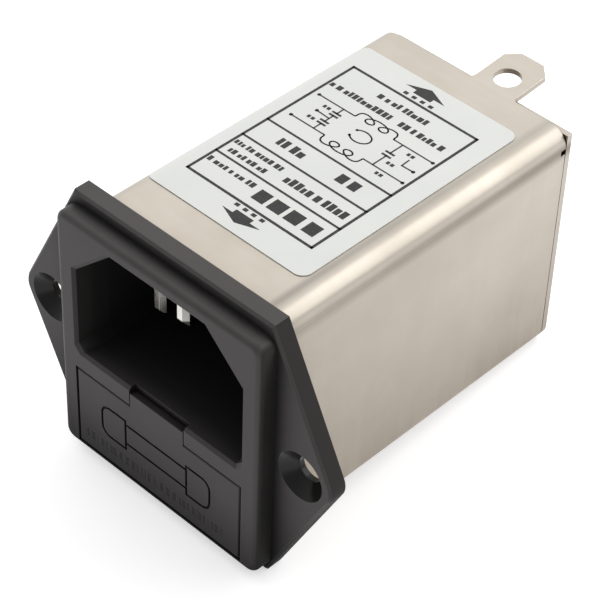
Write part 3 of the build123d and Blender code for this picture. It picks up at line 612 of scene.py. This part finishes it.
def add_dot(bm, middle, radius):
    place = Matrix.Translation((middle[0] * mm, middle[1] * mm, film_top + print_height / 2))
    bmesh.ops.create_cone(
        bm,
        cap_ends=True,
        segments=16,
        radius1=radius * mm,
        radius2=radius * mm,
        depth=print_height,
        matrix=place,
    )


def add_block_row(bm, left, right, middle_y, height, pitch):
    """Row of plain blocks of uneven width and height, from left to right."""
    x = left
    while x < right - pitch * 0.4:
        width = min(pitch * random.uniform(0.55, 1.0), right - x)
        tall = height * random.choice((0.72, 1.0, 1.0, 0.86))
        add_block(bm, (x + width / 2, middle_y - (height - tall) / 2), (width, tall))
        x += width + pitch * random.choice((0.22, 0.22, 0.22, 0.6))


def add_arrow(bm, tip, toward, wing, reach, neck, shaft):
    """Broad arrow: tip in millimetres, toward is +1 to the rear or -1 to the front."""
    outline = [
        (0.0, 0.0),
        (wing, -reach),
        (neck, -reach),
        (neck, -reach - shaft),
        (-neck, -reach - shaft),
        (-neck, -reach),
        (-wing, -reach),
    ]
    ink_top = film_top + print_height
    corners = [bm.verts.new(((tip[0] + x) * mm, (tip[1] + y * toward) * mm, ink_top)) for x, y in outline]
    top = bm.faces.new(corners)
    bmesh.ops.recalc_face_normals(bm, faces=[top])
    if top.normal.z < 0:
        top.normal_flip()
    sides = bmesh.ops.extrude_face_region(bm, geom=[top])
    moved = [item for item in sides["geom"] if isinstance(item, bmesh.types.BMVert)]
    bmesh.ops.translate(bm, verts=moved, vec=(0.0, 0.0, -print_height))


random.seed(7)
ink = bmesh.new()
frame_left = -10.46
frame_right = 8.76
frame_front = 10.25
frame_rear = 37.43
row_lines = (14.70, 18.92, 22.95)
outer_line = 0.37
inner_line = 0.31
sign_line = 0.20
frame_corners = [
    (frame_left, frame_front),
    (frame_right, frame_front),
    (frame_right, frame_rear),
    (frame_left, frame_rear),
    (frame_left, frame_front),
]
add_stroke(ink, frame_corners, outer_line)
for row_y in row_lines:
    add_stroke(ink, [(frame_left, row_y), (frame_right, row_y)], inner_line)
add_arrow(ink, tip=(-0.05, 7.20), toward=-1, wing=2.91, reach=1.12, neck=1.33, shaft=0.66)
add_arrow(ink, tip=(-0.95, 40.66), toward=1, wing=2.96, reach=1.23, neck=1.33, shaft=0.66)
for mark_x in (-1.94, -0.66, 0.61, 1.89):
    add_block(ink, (mark_x, 9.62), (0.63, 0.51))
    add_block(ink, (mark_x - 0.87, 38.15), (0.63, 0.51))
for block_x, block_w in ((-0.97, 1.79), (1.48, 1.99), (4.03, 1.99), (6.69, 1.79)):
    add_block(ink, (block_x, 12.51), (block_w, 1.94))
add_block_row(ink, -10.11, -2.76, 13.23, 0.87, 0.77)
add_block_row(ink, -1.43, 8.07, 16.70, 1.28, 0.87)
add_block_row(ink, -9.50, -3.78, 15.88, 0.82, 0.63)
add_block_row(ink, -10.11, -2.66, 17.52, 0.82, 0.63)
add_block_row(ink, -6.74, -2.15, 21.04, 1.38, 1.02)
add_block(ink, (3.01, 21.15), (1.23, 1.53))
add_block(ink, (4.85, 21.15), (1.23, 1.53))
add_block_row(ink, -4.70, 2.86, 35.55, 0.97, 0.77)
add_block_row(ink, -10.11, -0.72, 33.25, 0.97, 0.74)
add_block_row(ink, 0.61, 7.35, 33.25, 0.97, 0.74)

# Wiring sign on the label: two wires with a coupled coil, the core between them, one
# capacitor across the wires and two in a row with their middle taken to earth.
upper_wire = 30.57
lower_wire = 25.49
wire_end = 8.12
across_x = 3.58
earthed_x = -5.62
coil_start = -3.98
coil_end = 2.25
coil_bumps = 3
core_middle = (-0.77, 28.19)
core_size = (1.43, 1.07)
wire_dot = 0.25
core_dot = 0.20


def add_coil(bm, wire_y, rise):
    """Looped line that leaves its wire by the rise and comes back, once for each bump."""
    steps = 20 * coil_bumps
    pitch = (coil_end - coil_start) / coil_bumps
    points = []
    for step in range(steps + 1):
        turn = 2 * pi * coil_bumps * step / steps
        left = 2 * pi * coil_bumps - turn
        looseness = min(1.0, turn / (1.6 * pi), left / (1.6 * pi))
        x = coil_start + pitch * turn / (2 * pi) - 1.10 * looseness * sin(turn)
        points.append((x, wire_y + rise * (1 - cos(turn)) / 2))
    add_stroke(bm, points, sign_line)


for wire_y, rise, start_x in ((upper_wire, 1.20, -9.55), (lower_wire, -1.20, -9.19)):
    add_stroke(ink, [(start_x, wire_y), (coil_start, wire_y)], sign_line)
    add_stroke(ink, [(coil_end, wire_y), (wire_end, wire_y)], sign_line)
    add_coil(ink, wire_y, rise)
    add_dot(ink, (start_x, wire_y), wire_dot)
    add_dot(ink, (wire_end, wire_y), wire_dot)
core_points = []
for degrees in range(-145, 150, 12):
    core_x = core_middle[0] + core_size[0] * cos(radians(degrees))
    core_y = core_middle[1] + core_size[1] * sin(radians(degrees))
    core_points.append((core_x, core_y))
add_stroke(ink, core_points, sign_line)
add_dot(ink, core_points[0], core_dot)
add_dot(ink, core_points[-1], core_dot)
add_stroke(ink, [(across_x, upper_wire), (across_x, 28.42)], sign_line)
add_stroke(ink, [(across_x, 27.78), (across_x, lower_wire)], sign_line)
add_stroke(ink, [(3.01, 28.42), (4.14, 28.42)], inner_line)
add_stroke(ink, [(3.01, 27.78), (4.14, 27.78)], inner_line)
add_stroke(ink, [(earthed_x, upper_wire), (earthed_x, 29.37)], sign_line)
add_stroke(ink, [(earthed_x, 28.81), (earthed_x, 27.33)], sign_line)
add_stroke(ink, [(earthed_x, 26.76), (earthed_x, lower_wire)], sign_line)
for plate_y in (29.37, 28.81, 27.33, 26.76):
    add_stroke(ink, [(-6.18, plate_y), (-5.06, plate_y)], inner_line)
add_stroke(ink, [(earthed_x, 28.09), (-7.66, 28.19)], sign_line)
add_dot(ink, (-7.66, 28.19), wire_dot)
add_stroke(ink, [(5.92, 29.01), (5.98, 27.73), (7.66, 27.78)], sign_line)
add_dot(ink, (7.66, 27.78), wire_dot)
for mark_x, mark_y in ((5.52, 29.73), (5.21, 24.72), (4.90, 26.97), (-7.25, 29.42), (-7.25, 26.76)):
    add_block(ink, (mark_x - 0.31, mark_y), (0.41, 0.51))
    add_block(ink, (mark_x + 0.31, mark_y), (0.46, 0.51))
ink_mesh = bpy.data.meshes.new("label_print")
ink.to_mesh(ink_mesh)
ink.free()
label_print = bpy.data.objects.new("label_print", ink_mesh)
bpy.context.scene.collection.objects.link(label_print)
label_ink, nodes, links, shader = start_material("label_ink")
cloud = add_group(nodes, cloudy, Slow_Size=900.0, Fine_Size=5000.0)
shade = stretch(nodes, links, cloud.outputs["Fine"], 0.35, 0.65, 0.0, 1.0)
tone = blend_colours(nodes, links, shade, (0.010, 0.009, 0.009), (0.026, 0.024, 0.023))
links.new(tone, shader.inputs["Base Color"])
links.new(stretch(nodes, links, cloud.outputs["Slow"], 0.3, 0.7, 0.38, 0.5), shader.inputs["Roughness"])
shader.inputs["Specular IOR Level"].default_value = 0.3
ink_mesh.materials.append(label_ink)
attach(label_print, "filter")


# Inner card: green glass-fibre sheet, sawn to size and drilled for the pins.
# The woven cloth shows as a fine grid under the lacquer.
weave_size = 900.0
card_green, nodes, links, shader = start_material("card_green")
place = nodes.new("ShaderNodeTexCoord")
weave = nodes.new("ShaderNodeTexWave")
weave.bands_direction = "X"
weave.inputs["Scale"].default_value = weave_size
cross = nodes.new("ShaderNodeTexWave")
cross.bands_direction = "Z"
cross.inputs["Scale"].default_value = weave_size
links.new(place.outputs["Object"], weave.inputs["Vector"])
links.new(place.outputs["Object"], cross.inputs["Vector"])
both = nodes.new("ShaderNodeMath")
both.operation = "MULTIPLY"
links.new(weave.outputs["Fac"], both.inputs[0])
links.new(cross.outputs["Fac"], both.inputs[1])
green = blend_colours(nodes, links, both.outputs[0], (0.030, 0.095, 0.036), (0.055, 0.150, 0.058))
links.new(green, shader.inputs["Base Color"])
edge = add_group(nodes, soft_edge, Radius=0.06 * mm, Spread=2.0)
links.new(stretch(nodes, links, both.outputs[0], 0.0, 1.0, 0.38, 0.30), shader.inputs["Roughness"])
raise_surface(nodes, links, shader, both.outputs[0], 0.008 * mm, edge)
dress("inner_board", card_green)


# Choke: a sintered ferrite ring in a two-shell nylon case, with a winding of enamelled
# copper on each side and a nylon divider between the two windings.
ferrite = make_moulding(
    "ferrite",
    dark=(0.020, 0.020, 0.021),
    light=(0.035, 0.035, 0.036),
    painted_edge_highlight=(0.070, 0.070, 0.072),
    rough_low=0.45,
    rough_high=0.60,
    edge_radius=0.2 * mm,
)
dress("choke_core", ferrite)
case_nylon = make_moulding(
    "case_nylon",
    dark=(0.66, 0.64, 0.56),
    light=(0.72, 0.70, 0.62),
    painted_edge_highlight=(0.78, 0.77, 0.70),
    rough_low=0.40,
    rough_high=0.50,
    edge_radius=0.2 * mm,
)
dress("choke_case", case_nylon)
dress("choke_divider", case_nylon)


def make_winding(name):
    """Enamelled copper wire, its turns laid round the ring as ridges of height, each painted lighter on
    its crest and darker between turns as painted highlight and shade.
    """
    ridges = 30.0
    ridge_height = 0.3 * mm
    enamel_groove_shade = (0.25, 0.085, 0.035)
    enamel_crest_highlight = (0.62, 0.27, 0.12)
    material, nodes, links, shader = start_material(name)
    place = nodes.new("ShaderNodeTexCoord")
    shift = nodes.new("ShaderNodeMapping")
    middle = (Vector(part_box("choke_core")[0]) + Vector(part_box("choke_core")[1])) / 2
    shift.inputs["Location"].default_value = -middle
    links.new(place.outputs["Object"], shift.inputs["Vector"])
    spot = split_axes(nodes, links, shift.outputs["Vector"])
    angle = nodes.new("ShaderNodeMath")
    angle.operation = "ARCTAN2"
    links.new(spot["Z"], angle.inputs[0])
    links.new(spot["X"], angle.inputs[1])
    turns = nodes.new("ShaderNodeMath")
    turns.operation = "MULTIPLY"
    turns.inputs[1].default_value = ridges
    links.new(angle.outputs[0], turns.inputs[0])
    ridge = nodes.new("ShaderNodeMath")
    ridge.operation = "SINE"
    links.new(turns.outputs[0], ridge.inputs[0])
    height = stretch(nodes, links, ridge.outputs[0], -1.0, 1.0, 0.0, 1.0)
    # Painted highlight and shade: each turn is lighter on its crest and darker between turns.
    colour = blend_colours(nodes, links, height, enamel_groove_shade, enamel_crest_highlight)
    links.new(colour, shader.inputs["Base Color"])
    shader.inputs["Metallic"].default_value = 0.85
    cloud = add_group(nodes, cloudy, Slow_Size=500.0, Fine_Size=4000.0)
    rough = stretch(nodes, links, cloud.outputs["Slow"], 0.3, 0.7, 0.25, 0.36)
    links.new(rough, shader.inputs["Roughness"])
    edge = add_group(nodes, soft_edge, Radius=0.3 * mm, Spread=2.0)
    raise_surface(nodes, links, shader, height, ridge_height, edge)
    return material


winding_copper = make_winding("winding_copper")
dress("choke_winding_line", winding_copper)
dress("choke_winding_neutral", winding_copper)


# Capacitors and bleeder: the one across the wires is a yellow moulded box, the two to
# earth are blue dipped discs, and the bleeder is a coated resistor. All are soldered to
# the card.
box_yellow = make_moulding(
    "box_yellow",
    dark=(0.58, 0.36, 0.035),
    light=(0.66, 0.42, 0.045),
    painted_edge_highlight=(0.74, 0.54, 0.12),
    rough_low=0.28,
    rough_high=0.38,
    edge_radius=0.25 * mm,
)
dress("x_capacitor", box_yellow)
disc_blue = make_moulding(
    "disc_blue",
    dark=(0.030, 0.095, 0.26),
    light=(0.045, 0.125, 0.32),
    painted_edge_highlight=(0.09, 0.20, 0.42),
    rough_low=0.25,
    rough_high=0.36,
    edge_radius=0.6 * mm,
)
dress("y_capacitor_line", disc_blue)
dress("y_capacitor_neutral", disc_blue)
resistor_coat = make_moulding(
    "resistor_coat",
    dark=(0.48, 0.36, 0.20),
    light=(0.56, 0.43, 0.25),
    painted_edge_highlight=(0.62, 0.50, 0.33),
    rough_low=0.32,
    rough_high=0.42,
    edge_radius=0.4 * mm,
)
dress("bleeder_resistor", resistor_coat)


# Earth strap: tinned brass strip that grips the earth pin and is spot welded to the cover.
# Leads: stranded wire in brown and blue sleeving, from the card to the blades.
dress("earth_strap", contact_strip)
lead_brown = make_moulding(
    "lead_brown",
    dark=(0.085, 0.032, 0.016),
    light=(0.110, 0.042, 0.021),
    painted_edge_highlight=(0.150, 0.070, 0.040),
    rough_low=0.38,
    rough_high=0.48,
    edge_radius=0.1 * mm,
)
dress("lead_line", lead_brown)
lead_blue = make_moulding(
    "lead_blue",
    dark=(0.030, 0.070, 0.160),
    light=(0.040, 0.090, 0.200),
    painted_edge_highlight=(0.070, 0.130, 0.260),
    rough_low=0.38,
    rough_high=0.48,
    edge_radius=0.1 * mm,
)
dress("lead_neutral", lead_blue)


# Insulation liner: pressed card, scored and folded into a sleeve inside the can.
# Its fibres run along the sleeve.
liner_card, nodes, links, shader = start_material("liner_card")
place = nodes.new("ShaderNodeTexCoord")
along = nodes.new("ShaderNodeMapping")
along.inputs["Scale"].default_value = (1.0, 0.12, 1.0)
fibre = nodes.new("ShaderNodeTexNoise")
fibre.inputs["Scale"].default_value = 2200.0
fibre.inputs["Detail"].default_value = 5.0
links.new(place.outputs["Object"], along.inputs["Vector"])
links.new(along.outputs["Vector"], fibre.inputs["Vector"])
card_tone = blend_colours(nodes, links, fibre.outputs["Fac"], (0.34, 0.28, 0.17), (0.52, 0.45, 0.31))
links.new(card_tone, shader.inputs["Base Color"])
links.new(stretch(nodes, links, fibre.outputs["Fac"], 0.3, 0.7, 0.7, 0.85), shader.inputs["Roughness"])
edge = add_group(nodes, soft_edge, Radius=0.08 * mm, Spread=2.0)
raise_surface(nodes, links, shader, fibre.outputs["Fac"], 0.02 * mm, edge)
dress("insulation_liner", liner_card)


# Terminal block: a black moulding whose rim lies on the rear plate, with the two output
# blades of tinned brass pushed through it and staked.
dress("terminal_block", housing_plastic)
blade_plate = make_metal(
    "blade_plate",
    low=(0.66, 0.62, 0.54),
    high=(0.75, 0.71, 0.63),
    painted_edge_highlight=(0.84, 0.80, 0.73),
    hollow_shade=(0.44, 0.40, 0.33),
    rough_low=0.26,
    rough_high=0.36,
    slow_size=300.0,
    edge_radius=0.06 * mm,
    reach=4 * mm,
)
dress("load_tab_line", blade_plate)
dress("load_tab_neutral", blade_plate)


# Floor: a plain pale sheet that touches the flange's lower edge and the rear plate's
# lower edge, which is how the filter lies on a table. It isn't part of the filter.
floor_size = 1.6
floor_grey = (0.74, 0.74, 0.74, 1.0)
white_lift = 0.52
flange_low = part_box("inlet_housing")[0][2]
rear_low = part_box("rear_plate")[0][2]
rear_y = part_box("rear_plate")[1][1]
slope = (rear_low - flange_low) / rear_y
floor_mesh = bpy.data.meshes.new("floor")
floor_bm = bmesh.new()
bmesh.ops.create_grid(floor_bm, x_segments=1, y_segments=1, size=floor_size)
for vert in floor_bm.verts:
    vert.co.z = flange_low + slope * vert.co.y
floor_bm.to_mesh(floor_mesh)
floor_bm.free()
floor = bpy.data.objects.new("floor", floor_mesh)
bpy.context.scene.collection.objects.link(floor)
floor_white, nodes, links, shader = start_material("floor_white")
shader.inputs["Base Color"].default_value = floor_grey
shader.inputs["Roughness"].default_value = 0.9
shader.inputs["Specular IOR Level"].default_value = 0.0
lift = nodes.new("ShaderNodeEmission")
sum_shader = nodes.new("ShaderNodeAddShader")
path = nodes.new("ShaderNodeLightPath")
shown = nodes.new("ShaderNodeMath")
shown.operation = "ADD"
links.new(path.outputs["Is Camera Ray"], shown.inputs[0])
links.new(path.outputs["Is Glossy Ray"], shown.inputs[1])
seen = nodes.new("ShaderNodeMath")
seen.operation = "ADD"
seen.use_clamp = True
links.new(shown.outputs[0], seen.inputs[0])
links.new(path.outputs["Is Transmission Ray"], seen.inputs[1])
amount = nodes.new("ShaderNodeMath")
amount.operation = "MULTIPLY"
amount.inputs[1].default_value = white_lift
links.new(seen.outputs[0], amount.inputs[0])
links.new(amount.outputs[0], lift.inputs["Strength"])
links.new(shader.outputs["BSDF"], sum_shader.inputs[0])
links.new(lift.outputs["Emission"], sum_shader.inputs[1])
links.new(sum_shader.outputs["Shader"], nodes["Material Output"].inputs["Surface"])
floor_mesh.materials.append(floor_white)


# Light: a white room that is brightest to the left, behind and above the filter and dimmest
# on the other side, and a large soft box to the right, behind and above, whose reflection
# runs along the rolled edge.
bright_way = Vector((-0.58, 0.47, 0.67)).normalized()
room_dim = 0.46
room_bright = 1.62
world = bpy.data.worlds.new("room")
bpy.context.scene.world = world
world.use_nodes = True
nodes = world.node_tree.nodes
links = world.node_tree.links
room = nodes["Background"]
room.inputs["Color"].default_value = (1.0, 1.0, 1.0, 1.0)
toward = nodes.new("ShaderNodeTexCoord")
near_bright = nodes.new("ShaderNodeVectorMath")
near_bright.operation = "DOT_PRODUCT"
near_bright.inputs[1].default_value = bright_way
links.new(toward.outputs["Generated"], near_bright.inputs[0])
share = stretch(nodes, links, near_bright.outputs["Value"], -0.3, 1.0, 0.0, 1.0)
rising = product(nodes, links, share, share)
strength = stretch(nodes, links, rising, 0.0, 1.0, room_dim, room_bright)
links.new(strength, room.inputs["Strength"])

object_middle = Vector((0.0, 0.02, 0.0))
box_way = Vector((0.54, 0.56, 0.63)).normalized()
box_side = Vector((0.82, 0.0, -0.57))
box_side = (box_side - box_side.dot(box_way) * box_way).normalized()
box_length = 0.50
box_width = 0.24
box_radiance = 2.25
box_distance = 0.45
soft_box = bpy.data.lights.new("soft_box", "AREA")
soft_box.shape = "RECTANGLE"
soft_box.size = box_length
soft_box.size_y = box_width
soft_box.energy = box_radiance * pi * box_length * box_width
box_holder = bpy.data.objects.new("soft_box", soft_box)
box_turn = Matrix((box_side, box_way.cross(box_side), box_way)).transposed().to_4x4()
box_holder.matrix_world = Matrix.Translation(object_middle + box_distance * box_way) @ box_turn
bpy.context.scene.collection.objects.link(box_holder)


# Camera: a long lens in front, to the right and above, tipped a little to one side.
camera_place = Vector((135.569, -129.153, 179.840)) * mm
camera_aim = Vector((0.294, 17.957, 0.0)) * mm
camera_roll = radians(2.29)
lens = bpy.data.cameras.new("camera")
lens.lens = 138.77
lens.sensor_width = 36.0
camera = bpy.data.objects.new("camera", lens)
camera.location = camera_place
aimed = (camera_aim - camera_place).to_track_quat("-Z", "Y").to_matrix().to_4x4()
camera.rotation_euler = (aimed @ Matrix.Rotation(camera_roll, 4, "Z")).to_euler()
bpy.context.scene.collection.objects.link(camera)
bpy.context.scene.camera = camera
bpy.context.scene.view_settings.view_transform = "Standard"
